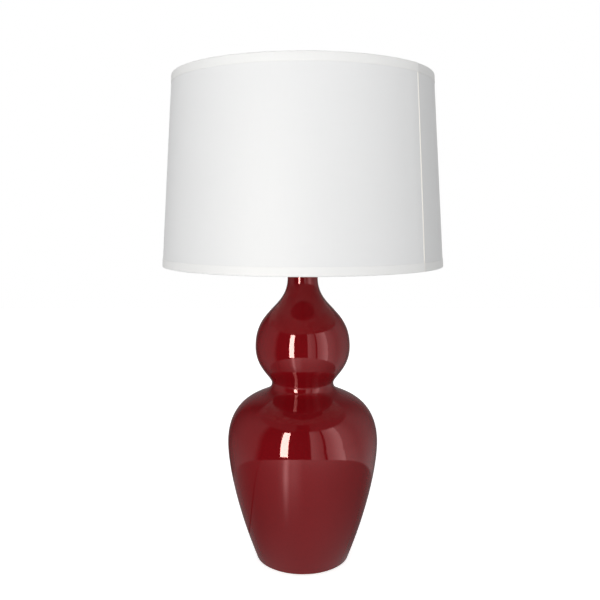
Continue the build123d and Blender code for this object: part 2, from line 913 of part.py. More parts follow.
ball_z = finial_neck_rise + sqrt(finial_ball_r**2 - finial_neck_r**2)

with BuildPart(Plane.XY.offset(finial_z)) as finial:
    Cylinder(finial_foot_r, finial_foot_thick, align=ON_BASE)
    fillet(edges().filter_by(GeomType.CIRCLE).sort_by(Axis.Z)[-1], finial_foot_thick / 2)
    Cylinder(finial_neck_r, ball_z, align=ON_BASE)
    with Locations((0, 0, ball_z)):
        Sphere(finial_ball_r)
    with Locations((0, 0, ball_z)):
        Cylinder(finial_tip_r, finial_height - finial_tip_r - ball_z, align=ON_BASE)
    with Locations((0, 0, finial_height - finial_tip_r)):
        Sphere(finial_tip_r)
    Cylinder(
        stud_r + running_gap,
        stud_top + stud_bore_extra - finial_z,
        align=ON_BASE,
        mode=Mode.SUBTRACT,
    )

# ---------------------------------------------------------------- every piece to its own file

pieces = {
    "gourd_body": gourd_body,
    "felt_ring": felt_ring,
    "cord_bushing": cord_bushing,
    "lamp_pipe": lamp_pipe,
    "pipe_bushing": pipe_bushing,
    "rubber_washer": rubber_washer,
    "steel_washer": steel_washer,
    "lock_washer": lock_washer,
    "hex_nut": hex_nut,
    "vase_cap": vase_cap,
    "check_ring": check_ring,
    "neck_spacer": neck_spacer,
    "harp_saddle": harp_saddle,
    "harp_wire": harp_wire,
    "harp_top": harp_top,
    "ferrule_left": ferrule_left,
    "ferrule_right": ferrule_right,
    "socket_cap": socket_cap,
    "cap_set_screw": cap_set_screw,
    "socket_shell": socket_shell,
    "shell_insulator": shell_insulator,
    "socket_body": socket_body,
    "terminal_screws": terminal_screws,
    "screw_shell": screw_shell,
    "centre_contact": centre_contact,
    "switch_stem": switch_stem,
    "switch_knob": switch_knob,
    "bulb_contact": bulb_contact,
    "bulb_insulator": bulb_insulator,
    "bulb_base": bulb_base,
    "bulb_glass": bulb_glass,
    "shade_fabric": shade_fabric,
    "shade_liner": shade_liner,
    "top_ring": top_ring,
    "bottom_ring": bottom_ring,
    "spider": spider,
    "top_trim": top_trim,
    "bottom_trim": bottom_trim,
    "finial": finial,
}

os.makedirs("parts", exist_ok=True)
for label, piece in pieces.items():
    piece.part.label = label
    export_step(piece.part, f"parts/{label}.step")
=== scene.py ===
"""Looks of a double gourd table lamp: oxblood glaze, pale drum shade and brass fittings.

Metres. +Z is up and the front is -Y. A bearing is measured from the front towards +X.
"""

import math

import bmesh
import bpy
import numpy as np
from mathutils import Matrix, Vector, noise


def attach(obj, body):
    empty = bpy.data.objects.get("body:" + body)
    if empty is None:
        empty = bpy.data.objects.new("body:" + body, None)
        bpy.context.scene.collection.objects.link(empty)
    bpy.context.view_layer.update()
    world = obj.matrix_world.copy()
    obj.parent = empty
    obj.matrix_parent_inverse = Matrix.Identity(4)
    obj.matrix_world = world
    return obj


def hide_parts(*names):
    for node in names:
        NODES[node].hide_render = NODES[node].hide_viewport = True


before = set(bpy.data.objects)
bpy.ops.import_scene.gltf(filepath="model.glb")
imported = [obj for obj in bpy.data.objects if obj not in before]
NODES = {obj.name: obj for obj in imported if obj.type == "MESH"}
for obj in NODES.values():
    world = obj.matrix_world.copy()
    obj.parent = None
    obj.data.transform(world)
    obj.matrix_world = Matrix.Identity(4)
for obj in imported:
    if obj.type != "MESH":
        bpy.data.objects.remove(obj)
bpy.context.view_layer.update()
MM = 0.001
TURN = 2 * math.pi

# ------------------------------------------------------------------ sizes shared with the CAD

GLAZE_LOW, GLAZE_HIGH = 2.0 * MM, 471.1 * MM
CORD_HEIGHT, CORD_HOLE = 11.0 * MM, 5.05 * MM
FELT_IN, FELT_OUT, FELT_THICK = 63.2 * MM, 71.2 * MM, 1.2 * MM
PIPE_RADIUS, PIPE_LOW, NUT_LOW = 5.15 * MM, 6.5 * MM, 10.0 * MM
SHADE_LOW, SHADE_HIGH = 475.1 * MM, 758.5 * MM
SHADE_LOW_R, SHADE_HIGH_R = 215.4 * MM, 196.1 * MM
SHADE_MEAN_R = (SHADE_LOW_R + SHADE_HIGH_R) / 2
CLOTH, TRIM = 0.6 * MM, 0.5 * MM
TRIM_WIDTH, TRIM_TUCK = 12.5 * MM, 6.5 * MM
ARM_BEARINGS = (180.0, 300.0, 60.0)

# ------------------------------------------------------------------ sizes of the scene's own meshes

GLAZE_COLUMNS, GLAZE_ROWS, GLAZE_FOOT_ROWS, GLAZE_FOOT = 240, 230, 14, 8 * MM
GLAZE_THICK, GLAZE_UNEVEN = 0.25 * MM, 0.10
GLAZE_BEAD, GLAZE_BEAD_RISE, GLAZE_BEAD_SPREAD = 0.35 * MM, 0.9 * MM, 1.1 * MM
GLAZE_FOOT_ROUND, GLAZE_TOP_ROUND, ROUND_LEAST = 0.7 * MM, 0.5 * MM, 0.02
OUTWARD_LEAST = 0.15      # how far a face of the clay turns outward to count as its outside
HOLE_SIDES, HOLE_DEPTH, HOLE_PLACE = 64, 40 * MM, 78 * MM
CLEARANCE = 0.02 * MM     # between a skin and what it lies on
SEAM_LOW, SEAM_HIGH = math.radians(51.3), math.radians(52.0)
LAP, LAP_EASE, HEM_BEAD, HEM_EASE = 13.0 * MM, 22 * MM, 0.85 * MM, (0.7 * MM, 2.3 * MM)
CLOTH_INSET, CLOTH_EDGE_BAND, CLOTH_EDGE_ROWS, CLOTH_ROWS = 2 * MM, 14 * MM, 9, 42
CLOTH_COLUMNS, CLOTH_END_COLUMNS = 330, 60
CLOTH_COARSE, CLOTH_FINE = 36 * MM, (34 * MM, 0.03 * MM)
HEM_HIDDEN, HEM_OPEN = TRIM_WIDTH - 1 * MM, TRIM_WIDTH + 3 * MM
CLOTH_UNEVEN, CLOTH_EVEN_BAND = 0.10 * MM, 50 * MM
TRIM_MIDDLE, TRIM_HALF, TRIM_CROWN, TRIM_BOXY = -2.3 * MM, 2.8 * MM, 3.0 * MM, 0.6
ARM_NOTCH = (2.0 * MM, 3.2 * MM)     # from clear of an arm to the whole tuck
TRIM_ARC, TRIM_COLUMNS, TRIM_END_COLUMNS = 22, 420, 30
TRIM_COARSE, TRIM_FINE = 22 * MM, 21.5 * MM
TRIM_INNER, TRIM_ACROSS, TRIM_LIFTS, TRIM_EDGES = 5.1 * MM, 5.6 * MM, 0.3, (0.35, 0.8)
TRIM_FACE_DROPS = (
    TRIM_WIDTH, TRIM_WIDTH - 0.12 * MM, TRIM_WIDTH - 0.4 * MM, 10 * MM, 7.5 * MM, 5 * MM
)
TRIM_TUCK_DROPS = (4.2 * MM, 5.4 * MM, TRIM_TUCK - 0.3 * MM, TRIM_TUCK)
TRIM_LIFT, TRIM_SOFT, TRIM_SWELL, TRIM_STUB = 0.04 * MM, 0.10 * MM, 0.06 * MM, 1.1 * MM
FELT_COLUMNS, FELT_ARC, FELT_BOXY = 260, 9, 0.5
FELT_RAGGED, FELT_LUMPS, FELT_SIDE_GAP, FELT_FACE_GAP = 0.12 * MM, 0.04 * MM, 0.1 * MM, 0.01 * MM
THREAD_PITCH, THREAD_CREST, THREAD_STEPS = 0.94 * MM, 0.22 * MM, 40
THREAD_START, THREAD_ENDS, THREAD_SHARE = 0.5 * MM, 0.9 * MM, 0.9
THREAD_GAP, THREAD_ROOT = 0.01 * MM, 0.05 * MM
THREAD_SECTION, THREAD_PROFILE = (-0.5, -0.22, 0.0, 0.22, 0.5), (0.0, 0.7, 1.0, 0.7, 0.0)

# ------------------------------------------------------------------ camera

CAMERA_PLACE = (-0.0042, -1.1403, 0.5590)
CAMERA_DOWN = math.radians(6.97)
CAMERA_LENS, CAMERA_SENSOR = 43.78, 36.0

# ------------------------------------------------------------------ light

SKY = 0.335
KEY = 3.65
KEY_DIRECTION = (-0.215, -0.967, 0.139)
KEY_SPREAD = 10.0
FILL = 1.7
FILL_DIRECTION = (0.24, 0.94, 0.24)
FILL_SPREAD = 8.0
# FLOOR_BOUNCE is painted bounce light, weaker near the lamp as painted shade
FLOOR_GLOW, FLOOR_BOUNCE, BOUNCE_NEAR = 0.7, 0.12, (0.15, 0.9)
STRIP_PLACE, STRIP_SIZE, STRIP_POWER = (-0.335, -0.712, 0.45), (0.145, 0.70), 13.0
STRIP_COLOR = (1.0, 0.96, 0.87)
FLOOR_HALF, FLOOR_TONE, TABLE_EDGE = 3.0, 0.9, (1.0, 1.10)

# ------------------------------------------------------------------ what mirror rays see
# A span is of bearings in degrees, and a tone is the brightness at its start and end. ROOM_HEIGHT
# and CEILING are elevations; the table's near span of painted shadow and SHEEN_NEAR are distances
# from the lamp.

ROOM_HEIGHT, CEILING, CEILING_TONE = (41.0, 46.0), (56.0, 68.0), (0.30, 0.06)
CEILING_GAP, GAP_SOFT, GAP_SHARE = (-14.0, 16.0), 6.0, 0.15
LEFT_WALL, LEFT_SOFT, LEFT_FADE, LEFT_TONE = (-175.0, -68.0), 16.0, (-145.0, -72.0), (0.05, 0.60)
WINDOW_SOFT, NEAR_WINDOW, NEAR_TONE = 3.0, (12.0, 31.0), (1.9, 1.05)
FAR_WINDOW, FAR_FALL, FAR_TONE = (35.0, 175.0), (56.0, 95.0), (1.75, 0.72)
FAR_END, FAR_END_SHARE = (95.0, 150.0), 0.2
GLARE_RISE, GLARE_TONE, GLARE_END = (36.0, 60.0), 2.0, (61.0, 63.0)
BACK_WALL, BACK_TONE = (135.0, 165.0), (0.03, 0.2)
TABLE_LEFT, TABLE_LEFT_TONE = (-78.0, -12.0), (0.40, 1.30)
# painted shadow of the lamp on the table: darker to the right and near the lamp
TABLE_RIGHT_SHADOW, TABLE_RIGHT_SHADOW_SHARE = (15.0, 105.0), 0.22
TABLE_NEAR_SHADOW, TABLE_NEAR_SHADOW_SHARE = (0.1, 0.9), 0.5
SHEEN_CORE, CORE_SOFT, CORE_TONE = (-25.0, -20.0), 7.0, 3.3
SHEEN_SKIRT, SKIRT_SOFT, SKIRT_TONE, SHEEN_NEAR = (-29.0, -5.0), 16.0, 0.9, (0.15, 0.42)
TABLE_CENTRE, TABLE_HALF_WIDTH, TABLE_HALF_DEPTH = -0.40, 0.60, 0.70
# a dark line on the floor's left, with the floor a little darker beyond it
DARK_LINE_START, DARK_LINE_END, DARK_LINE_HALF = (-0.407, -0.190), (-0.131, 0.039), 0.004
DARK_LINE_DEPTH, BEYOND_DARK_LINE = 0.85, 0.85

# ------------------------------------------------------------------ colours

OXBLOOD = (0.190, 0.0040, 0.0066)
OXBLOOD_DARK = (0.170, 0.0032, 0.0052)
OXBLOOD_LIGHT = (0.212, 0.0048, 0.0082)
THIN_GLAZE = (0.21, 0.055, 0.028)
MIRROR_TINT = (1.0, 0.50, 0.50)
LINEN = (0.872, 0.876, 0.877)
TRIM_LINEN = (0.92, 0.92, 0.91)
# cream of the lap's cut edge, lightened as a painted highlight where the edge catches light
HEM_CREAM_AND_HIGHLIGHT = (0.94, 0.90, 0.84)
CLAY = (0.60, 0.47, 0.35)
CLAY_SPECK = (0.20, 0.11, 0.07)
BRASS = (0.80, 0.58, 0.27)
TARNISH = (0.33, 0.20, 0.09)
ZINC = (0.60, 0.61, 0.61)
ZINC_FILM = (0.44, 0.41, 0.36)
DUST = (0.30, 0.28, 0.26)
CARD = (0.42, 0.33, 0.22)
OFF_WHITE = (0.86, 0.86, 0.84)
BARE_GLASS = (0.62, 0.63, 0.62)
STYRENE = (0.90, 0.89, 0.86)
SCUFF = (0.50, 0.49, 0.47)
FELT = (0.56, 0.52, 0.46)
NICKEL = (0.70, 0.67, 0.62)
RUBBER = (0.028, 0.028, 0.028)
NYLON = (0.030, 0.030, 0.031)
PHENOLIC = (0.035, 0.027, 0.022)
KNOB = (0.018, 0.018, 0.018)
GLASS_BEAD = (0.014, 0.013, 0.015)
SOLDER = (0.55, 0.55, 0.54)

# ------------------------------------------------------------------ patterns in the finishes
# Stretches are cycles per metre in x, y and z.

BRUSHED, SCRATCHED = (60.0, 60.0, 2600.0), (3000.0, 3000.0, 90.0)
FIBRES_ALONG, FIBRES_ACROSS = (500.0, 500.0, 3000.0), (2600.0, 2600.0, 350.0)
ROLLED_RUN, ROLLED_RISE = 16.0, 260.0
GLAZE_BARE, GLAZE_FULL, GLAZE_RAGGED = 2.4 * MM, 4.2 * MM, 1.2 * MM
COATING_BARE, COATING_FULL = 562 * MM, 590 * MM
SLUB_RATE, SLUB_RELIEF, WEFT_SHIFT = 0.7, 1.6, 4.0
CLOTH_GLOSS = dict(roughness=0.66, IOR=1.42, Sheen_Weight=0.08, Sheen_Roughness=0.5)
CLOTH_ROUGH, SLUB_SPAN, SLUB_TINT = (0.62, 0.74), (0.3, 0.7), 0.025
RING_SCALE = 900.0        # rings of turning in the bare clay, per metre
THREAD_PULL = 22.0        # how slowly a thread's thickness changes along it, per metre
PALE_SIDE = 0.40          # share of a turn from the lap over which the cloth grows paler
CLOTH_TONE, TAPE_TONE = 0.905, 0.90
# bands along the lap's edge, on the cloth and the lower trim, painted cream with a painted
# highlight
HEM_HIGHLIGHT_WIDTH, FOLD_HIGHLIGHT_WIDTH, HEM_HIGHLIGHT_SHOWS = 2.2 * MM, 1.3 * MM, 0.8


# ------------------------------------------------------------------ node trees


class Graph:
    """A node tree, with short ways to add nodes that work in metres."""

    def __init__(self, tree, coordinates="Object"):
        self.tree = tree
        self.spot = self.add("TexCoord").outputs[coordinates]

    def add(self, kind, inputs=None, **settings):
        node = self.tree.nodes.new("ShaderNode" + kind)
        for key, value in settings.items():
            setattr(node, key, value)
        for key, value in (inputs or {}).items():
            self.feed(node.inputs[key], value)
        return node

    def feed(self, socket, value):
        if isinstance(value, bpy.types.NodeSocket):
            self.tree.links.new(value, socket)
        elif isinstance(value, tuple) and socket.type == "RGBA":
            socket.default_value = (*value, 1.0)
        else:
            socket.default_value = value

    def math(self, operation, first, second=0.0, third=0.0):
        inputs = {0: first, 1: second, 2: third}
        return self.add("Math", inputs, operation=operation).outputs[0]

    def times(self, first, second):
        return self.math("MULTIPLY", first, second)

    def plus(self, first, second):
        return self.math("ADD", first, second)

    def minus(self, first, second):
        return self.math("SUBTRACT", first, second)

    def split(self, vector):
        return self.add("SeparateXYZ", {0: vector}).outputs

    def join(self, x, y, z):
        return self.add("CombineXYZ", {0: x, 1: y, 2: z}).outputs[0]

    def stretch(self, vector, factors):
        inputs = {0: vector, 1: factors}
        return self.add("VectorMath", inputs, operation="MULTIPLY").outputs[0]

    def noise(self, scale, detail, spot=None, distortion=0.0):
        inputs = {
            "Vector": spot or self.spot,
            "Scale": scale,
            "Detail": detail,
            "Distortion": distortion,
        }
        return self.add("TexNoise", inputs).outputs["Fac"]

    def cells(self, scale):
        inputs = {"Vector": self.spot, "Scale": scale}
        return self.add("TexVoronoi", inputs).outputs["Distance"]

    def ease(self, value, low, high, start=0.0, end=1.0):
        """start up to low, end from high on, and a smooth change between them."""
        inputs = {"Value": value, "From Min": low, "From Max": high, "To Min": start, "To Max": end}
        return self.add("MapRange", inputs, interpolation_type="SMOOTHSTEP").outputs["Result"]

    def window(self, value, low, high, soft):
        """1 between low and high, easing to 0 over soft on either side."""
        rise = self.ease(value, low=low - soft / 2, high=low + soft / 2)
        fall = self.ease(value, low=high - soft / 2, high=high + soft / 2, start=1.0, end=0.0)
        return self.times(rise, fall)

    def choose(self, share, first, second):
        return self.add("Mix", {0: share, 2: first, 3: second}, data_type="FLOAT").outputs[0]

    def blend(self, share, first, second, mode="MIX"):
        inputs = {0: share, 6: first, 7: second}
        return self.add("Mix", inputs, data_type="RGBA", blend_type=mode).outputs[2]

    def vary(self, color, share, amount):
        """color, darker where share is 0 and lighter where it is 1."""
        grey = self.choose(share, 1 - amount, 1 + amount)
        return self.blend(1.0, color, grey, "MULTIPLY")


class Finish(Graph):
    """A material with one principled shader."""

    def __init__(self, name, color, roughness, **values):
        self.material = bpy.data.materials.new(name)
        self.material.use_nodes = True
        super().__init__(self.material.node_tree)
        self.shader = self.tree.nodes["Principled BSDF"]
        self.set("Base Color", color)
        self.set("Roughness", roughness)
        for socket, value in values.items():
            self.set(socket.replace("_", " "), value)

    def set(self, socket, value):
        self.feed(self.shader.inputs[socket], value)

    def roughen(self, share, low, high, smooth, rough):
        """Roughness is smooth where share is up to low, and rough where it is from high on."""
        self.set("Roughness", self.ease(share, low, high, smooth, rough))

    def bump(self, height, depth):
        """Adds relief: height runs from 0 to 1, and depth is how deep that is."""
        node = self.add("Bump", {"Height": height, "Distance": depth, "Strength": 1.0})
        normal = self.shader.inputs["Normal"]
        if normal.links:
            self.feed(node.inputs["Normal"], normal.links[0].from_socket)
        self.set("Normal", node.outputs[0])


# ------------------------------------------------------------------ materials


def glaze():
    """Deep red glaze: clouded colour, thin and browner at the foot, nearly a mirror."""
    finish = Finish("oxblood_glaze", OXBLOOD, roughness=0.04, IOR=1.52, Specular_Tint=MIRROR_TINT)
    cloud = finish.noise(scale=11.0, detail=4.0, distortion=0.6)
    curdle = finish.noise(scale=330.0, detail=3.0)
    height = finish.split(finish.spot)[2]
    color = finish.blend(cloud, OXBLOOD_DARK, OXBLOOD_LIGHT)
    color = finish.vary(color, curdle, amount=0.10)
    thin = finish.ease(
        finish.plus(height, finish.times(curdle, GLAZE_RAGGED)),
        low=GLAZE_BARE,
        high=GLAZE_FULL,
        start=0.7,
        end=0.0,
    )
    color = finish.blend(thin, color, THIN_GLAZE)
    finish.set("Base Color", color)
    finish.roughen(
        finish.noise(scale=60.0, detail=4.0), low=0.35, high=0.75, smooth=0.025, rough=0.06
    )
    finish.bump(finish.noise(scale=22.0, detail=1.0), depth=0.02 * MM)
    finish.bump(finish.noise(scale=160.0, detail=1.0), depth=0.001 * MM)
    pinhole = finish.ease(finish.cells(scale=38.0), low=0.012, high=0.024)
    finish.bump(pinhole, depth=0.04 * MM)
    return finish.material


def clay():
    """Bare fired clay with iron specks and the rings of turning."""
    finish = Finish("bare_clay", CLAY, roughness=0.85)
    x, y, z = finish.split(finish.spot)
    radius = finish.math("SQRT", finish.plus(finish.times(x, x), finish.times(y, y)))
    color = finish.vary(CLAY, finish.noise(scale=40.0, detail=5.0), amount=0.16)
    speck = finish.ease(finish.cells(scale=420.0), low=0.10, high=0.22, start=0.75, end=0.0)
    color = finish.blend(speck, color, CLAY_SPECK)
    finish.set("Base Color", color)
    ring = finish.join(finish.times(radius, RING_SCALE), finish.times(z, RING_SCALE), 0.0)
    finish.bump(finish.noise(scale=1.0, detail=2.0, spot=ring), depth=0.12 * MM)
    finish.bump(finish.noise(scale=1500.0, detail=3.0), depth=0.08 * MM)
    return finish.material


def brass():
    """Satin brass, brushed round its axis, with soft brown tarnish in patches."""
    finish = Finish("satin_brass", BRASS, roughness=0.28, Metallic=1.0)
    brushed = finish.stretch(finish.spot, BRUSHED)
    grain = finish.noise(scale=1.0, detail=4.0, spot=brushed)
    patch = finish.noise(scale=70.0, detail=5.0, distortion=0.4)
    color = finish.vary(BRASS, grain, amount=0.07)
    tarnish = finish.ease(patch, low=0.50, high=0.78, start=0.0, end=0.25)
    finish.set("Base Color", finish.blend(tarnish, color, TARNISH))
    rough = finish.ease(grain, low=0.2, high=0.8, start=0.22, end=0.34)
    finish.set("Roughness", finish.plus(rough, finish.times(tarnish, 0.4)))
    finish.bump(grain, depth=0.006 * MM)
    finish.bump(finish.noise(scale=900.0, detail=2.0), depth=0.004 * MM)
    return finish.material


def plated(name, color, roughness, scale):
    """Plated metal with faint clouding, fine scratches and duller edges."""
    finish = Finish(name, color, roughness, Metallic=1.0)
    cloud = finish.noise(scale, detail=4.0)
    scratch = finish.noise(scale=1.0, detail=3.0, spot=finish.stretch(finish.spot, SCRATCHED))
    finish.set(
        "Base Color", finish.vary(finish.vary(color, cloud, amount=0.10), scratch, amount=0.05)
    )
    finish.roughen(cloud, low=0.3, high=0.7, smooth=roughness * 0.75, rough=roughness * 1.3)
    finish.bump(scratch, depth=0.005 * MM)
    return finish.material


def zinc():
    """Zinc plated steel: small bright spangles under a dull film."""
    finish = Finish("zinc_steel", ZINC, roughness=0.4, Metallic=1.0)
    spangle = finish.cells(scale=420.0)
    film = finish.noise(scale=160.0, detail=5.0)
    shade = finish.vary(finish.vary(ZINC, spangle, amount=0.16), film, amount=0.14)
    dull = finish.ease(film, low=0.55, high=0.72, start=0.0, end=0.5)
    finish.set("Base Color", finish.blend(dull, shade, ZINC_FILM))
    finish.roughen(film, low=0.3, high=0.75, smooth=0.30, rough=0.58)
    finish.bump(spangle, depth=0.012 * MM)
    return finish.material


def moulded(name, color, roughness, grain, depth, dust=0.06):
    """Moulded plastic or rubber: fine grain, a little dust and uneven gloss."""
    finish = Finish(name, color, roughness)
    cloud = finish.noise(scale=grain / 12, detail=4.0)
    fine = finish.noise(grain, detail=3.0)
    settled = finish.ease(cloud, low=0.45, high=0.8, start=0.0, end=dust)
    finish.set("Base Color", finish.blend(settled, finish.vary(color, fine, amount=0.15), DUST))
    finish.roughen(cloud, low=0.3, high=0.75, smooth=roughness * 0.85, rough=roughness * 1.2)
    finish.bump(fine, depth)
    return finish.material


def fibre_card():
    """Pressed insulating card: long pale fibres over a brown board."""
    finish = Finish("fibre_card", CARD, roughness=0.8)
    long = finish.noise(scale=1.0, detail=3.0, spot=finish.stretch(finish.spot, FIBRES_ALONG))
    cross = finish.noise(scale=1.0, detail=3.0, spot=finish.stretch(finish.spot, FIBRES_ACROSS))
    color = finish.vary(CARD, long, amount=0.22)
    finish.set("Base Color", finish.vary(color, cross, amount=0.16))
    finish.bump(finish.math("MAXIMUM", long, cross), depth=0.05 * MM)
    return finish.material


def bulb_glass():
    """Glass with a soft white coating on its inside, thinner towards the neck."""
    finish = Finish(
        "bulb_white", OFF_WHITE, roughness=0.12, IOR=1.5, Coat_Weight=0.6, Coat_Roughness=0.03
    )
    powder = finish.noise(scale=900.0, detail=4.0)
    height = finish.split(finish.spot)[2]
    thin = finish.ease(height, low=COATING_BARE, high=COATING_FULL, start=0.55, end=0.0)
    color = finish.vary(OFF_WHITE, powder, amount=0.03)
    finish.set("Base Color", finish.blend(thin, color, BARE_GLASS))
    finish.roughen(finish.noise(scale=30.0, detail=3.0), low=0.3, high=0.7, smooth=0.25, rough=0.4)
    finish.bump(finish.noise(scale=18.0, detail=1.0), depth=0.05 * MM)
    return finish.material


def around(finish):
    """(distance round the shade from its seam, that as a share of a turn, height)."""
    x, y, z = finish.split(finish.spot)
    bearing = finish.math("ARCTAN2", x, finish.times(y, -1.0))
    lean = (SEAM_HIGH - SEAM_LOW) / (SHADE_HIGH - SHADE_LOW)
    start = SEAM_LOW - lean * SHADE_LOW
    seam = finish.math("MULTIPLY_ADD", z, lean, start)
    angle = finish.math("FLOORED_MODULO", finish.minus(bearing, seam), TURN)
    run = finish.times(angle, SHADE_MEAN_R)
    return run, finish.math("DIVIDE", angle, TURN), z


def weave(finish, across, up, pitch, depth):
    """Plain weave relief with uneven threads. Returns the threads' unevenness."""
    wave_across = finish.math("SINE", finish.times(across, math.pi / pitch))
    wave_up = finish.math("SINE", finish.times(up, math.pi / pitch))
    crossing = finish.times(wave_across, wave_up)
    cell = finish.math("MULTIPLY_ADD", crossing, 0.5, 0.5)
    warp = finish.noise(
        scale=1.0,
        detail=2.0,
        spot=finish.join(
            finish.times(across, SLUB_RATE / pitch), finish.times(up, THREAD_PULL), 0.0
        ),
    )
    weft = finish.noise(
        scale=1.0,
        detail=2.0,
        spot=finish.join(
            finish.times(across, THREAD_PULL), finish.times(up, SLUB_RATE / pitch), WEFT_SHIFT
        ),
    )
    slub = finish.times(finish.plus(warp, weft), 0.5)
    finish.bump(cell, depth)
    finish.bump(slub, depth=depth * SLUB_RELIEF)
    return slub


def linen():
    """Fine pale cloth, shallow weave, greyer right of the lap; its hem is cream with a painted
    highlight.
    """
    finish = Finish("white_linen", LINEN, **CLOTH_GLOSS)
    run, share, height = around(finish)
    slub = weave(finish, run, height, pitch=0.42 * MM, depth=0.035 * MM)
    tone = finish.ease(share, low=0.0, high=PALE_SIDE, start=CLOTH_TONE, end=1.0)
    color = finish.blend(1.0, finish.vary(LINEN, slub, SLUB_TINT), tone, "MULTIPLY")
    # the lap's hem is painted cream, lightened as a painted highlight where it catches light
    hem_highlight_start = 1 - HEM_HIGHLIGHT_WIDTH / (TURN * SHADE_MEAN_R)
    hem = finish.math("GREATER_THAN", share, hem_highlight_start)
    finish.set("Base Color", finish.blend(finish.times(hem, HEM_HIGHLIGHT_SHOWS), color, HEM_CREAM_AND_HIGHLIGHT))
    finish.roughen(slub, *SLUB_SPAN, *CLOTH_ROUGH)
    return finish.material


def trim_tape():
    """The same cloth cut on the bias for the folded trims, with a slightly tighter face."""
    finish = Finish("trim_linen", LINEN, **CLOTH_GLOSS)
    run, share, height = around(finish)
    slant_up = finish.times(finish.plus(run, height), math.sqrt(0.5))
    slant_down = finish.times(finish.minus(run, height), math.sqrt(0.5))
    slub = weave(finish, slant_up, slant_down, pitch=0.40 * MM, depth=0.03 * MM)
    tone = finish.ease(share, low=0.0, high=PALE_SIDE, start=TAPE_TONE, end=1.0)
    color = finish.blend(1.0, finish.vary(TRIM_LINEN, slub, SLUB_TINT), tone, "MULTIPLY")
    # the lower trim's end at the lap is painted cream, with a painted highlight where it catches
    # light
    end = finish.math("GREATER_THAN", share, 1 - FOLD_HIGHLIGHT_WIDTH / (TURN * SHADE_MEAN_R))
    lower = finish.math("LESS_THAN", height, (SHADE_LOW + SHADE_HIGH) / 2)
    fold_cream_and_highlight = finish.times(finish.times(end, lower), HEM_HIGHLIGHT_SHOWS)
    finish.set("Base Color", finish.blend(fold_cream_and_highlight, color, HEM_CREAM_AND_HIGHLIGHT))
    finish.roughen(slub, *SLUB_SPAN, *CLOTH_ROUGH)
    return finish.material


def styrene():
    """White plastic liner, faintly ribbed by its rolling, with a soft gloss."""
    finish = Finish("styrene", STYRENE, roughness=0.36, IOR=1.5)
    run, _, height = around(finish)
    rolled = finish.noise(
        scale=1.0,
        detail=3.0,
        spot=finish.join(finish.times(run, ROLLED_RUN), finish.times(height, ROLLED_RISE), 0.0),
    )
    finish.set("Base Color", finish.vary(STYRENE, rolled, amount=0.02))
    finish.roughen(finish.noise(scale=60.0, detail=3.0), low=0.3, high=0.7, smooth=0.32, rough=0.44)
    finish.bump(rolled, depth=0.02 * MM)
    return finish.material


def coated_wire():
    """White powder coat: orange peel, with grey scuffs where it has been handled."""
    finish = Finish("shade_wire", OFF_WHITE, roughness=0.32, IOR=1.5)
    scuff = finish.ease(
        finish.noise(scale=120.0, detail=5.0), low=0.64, high=0.74, start=0.0, end=0.5
    )
    finish.set("Base Color", finish.blend(scuff, OFF_WHITE, SCUFF))
    finish.roughen(
        finish.noise(scale=300.0, detail=3.0), low=0.3, high=0.7, smooth=0.28, rough=0.42
    )
    finish.bump(finish.noise(scale=1100.0, detail=2.0), depth=0.02 * MM)
    return finish.material


def felt():
    """Pressed wool felt: tangled pale and dark fibres, no gloss."""
    finish = Finish("grey_felt", FELT, roughness=0.95, Sheen_Weight=0.4, Sheen_Roughness=0.6)
    tangle = finish.noise(scale=900.0, detail=6.0, distortion=2.2)
    clump = finish.noise(scale=160.0, detail=3.0)
    color = finish.vary(FELT, tangle, amount=0.30)
    finish.set("Base Color", finish.vary(color, clump, amount=0.12))
    finish.bump(tangle, depth=0.25 * MM)
    return finish.material


# ------------------------------------------------------------------ mesh helpers


def smoothstep(value, low, high):
    share = np.clip((np.asarray(value, float) - low) / (high - low), 0, 1)
    return share * share * (3 - 2 * share)


def on_circle(radius, bearing, height):
    """Points at radii and bearings, as an array of x, y and z."""
    radius, bearing, height = np.broadcast_arrays(radius, bearing, height)
    return np.stack([radius * np.sin(bearing), -radius * np.cos(bearing), height], axis=-1)


def ripple(points, scale, seed):
    """Smooth noise of about -1 to 1 at each point of a grid."""
    shift = Vector((seed, seed * 2.3, seed * 0.7))
    flat = [noise.noise(Vector(point) * scale + shift) for point in points.reshape(-1, 3)]
    return np.array(flat).reshape(points.shape[:-1])


def thick_sheet(name, face, back, closed):
    """A closed mesh between two grids of points, the columns running round the lamp."""
    columns, rows = face.shape[:2]
    loop = 2 * rows
    points = np.concatenate([face, back[:, ::-1]], axis=1).reshape(-1, 3)
    quads = []
    for column in range(columns if closed else columns - 1):
        here, there = column * loop, (column + 1) % columns * loop
        for row in range(loop):
            after = (row + 1) % loop
            quads.append((here + row, there + row, there + after, here + after))
    if not closed:
        last = (columns - 1) * loop
        for row in range(rows - 1):
            end = (row, row + 1, loop - 2 - row, loop - 1 - row)
            quads.append(end)
            quads.append(tuple(last + index for index in reversed(end)))
    mesh = bpy.data.meshes.new(name)
    mesh.from_pydata(points.tolist(), [], quads)
    shaped = bmesh.new()
    shaped.from_mesh(mesh)
    bmesh.ops.recalc_face_normals(shaped, faces=shaped.faces)
    shaped.to_mesh(mesh)
    shaped.free()
    mesh.shade_smooth()
    piece = bpy.data.objects.new(name, mesh)
    bpy.context.scene.collection.objects.link(piece)
    return piece


def place(piece, material, body, slot, *nodes):
    piece.data.materials.clear()
    piece.data.materials.append(material)
    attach(piece, body)
    if nodes:
        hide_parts(*nodes)
    return piece


# ------------------------------------------------------------------ glaze over the clay


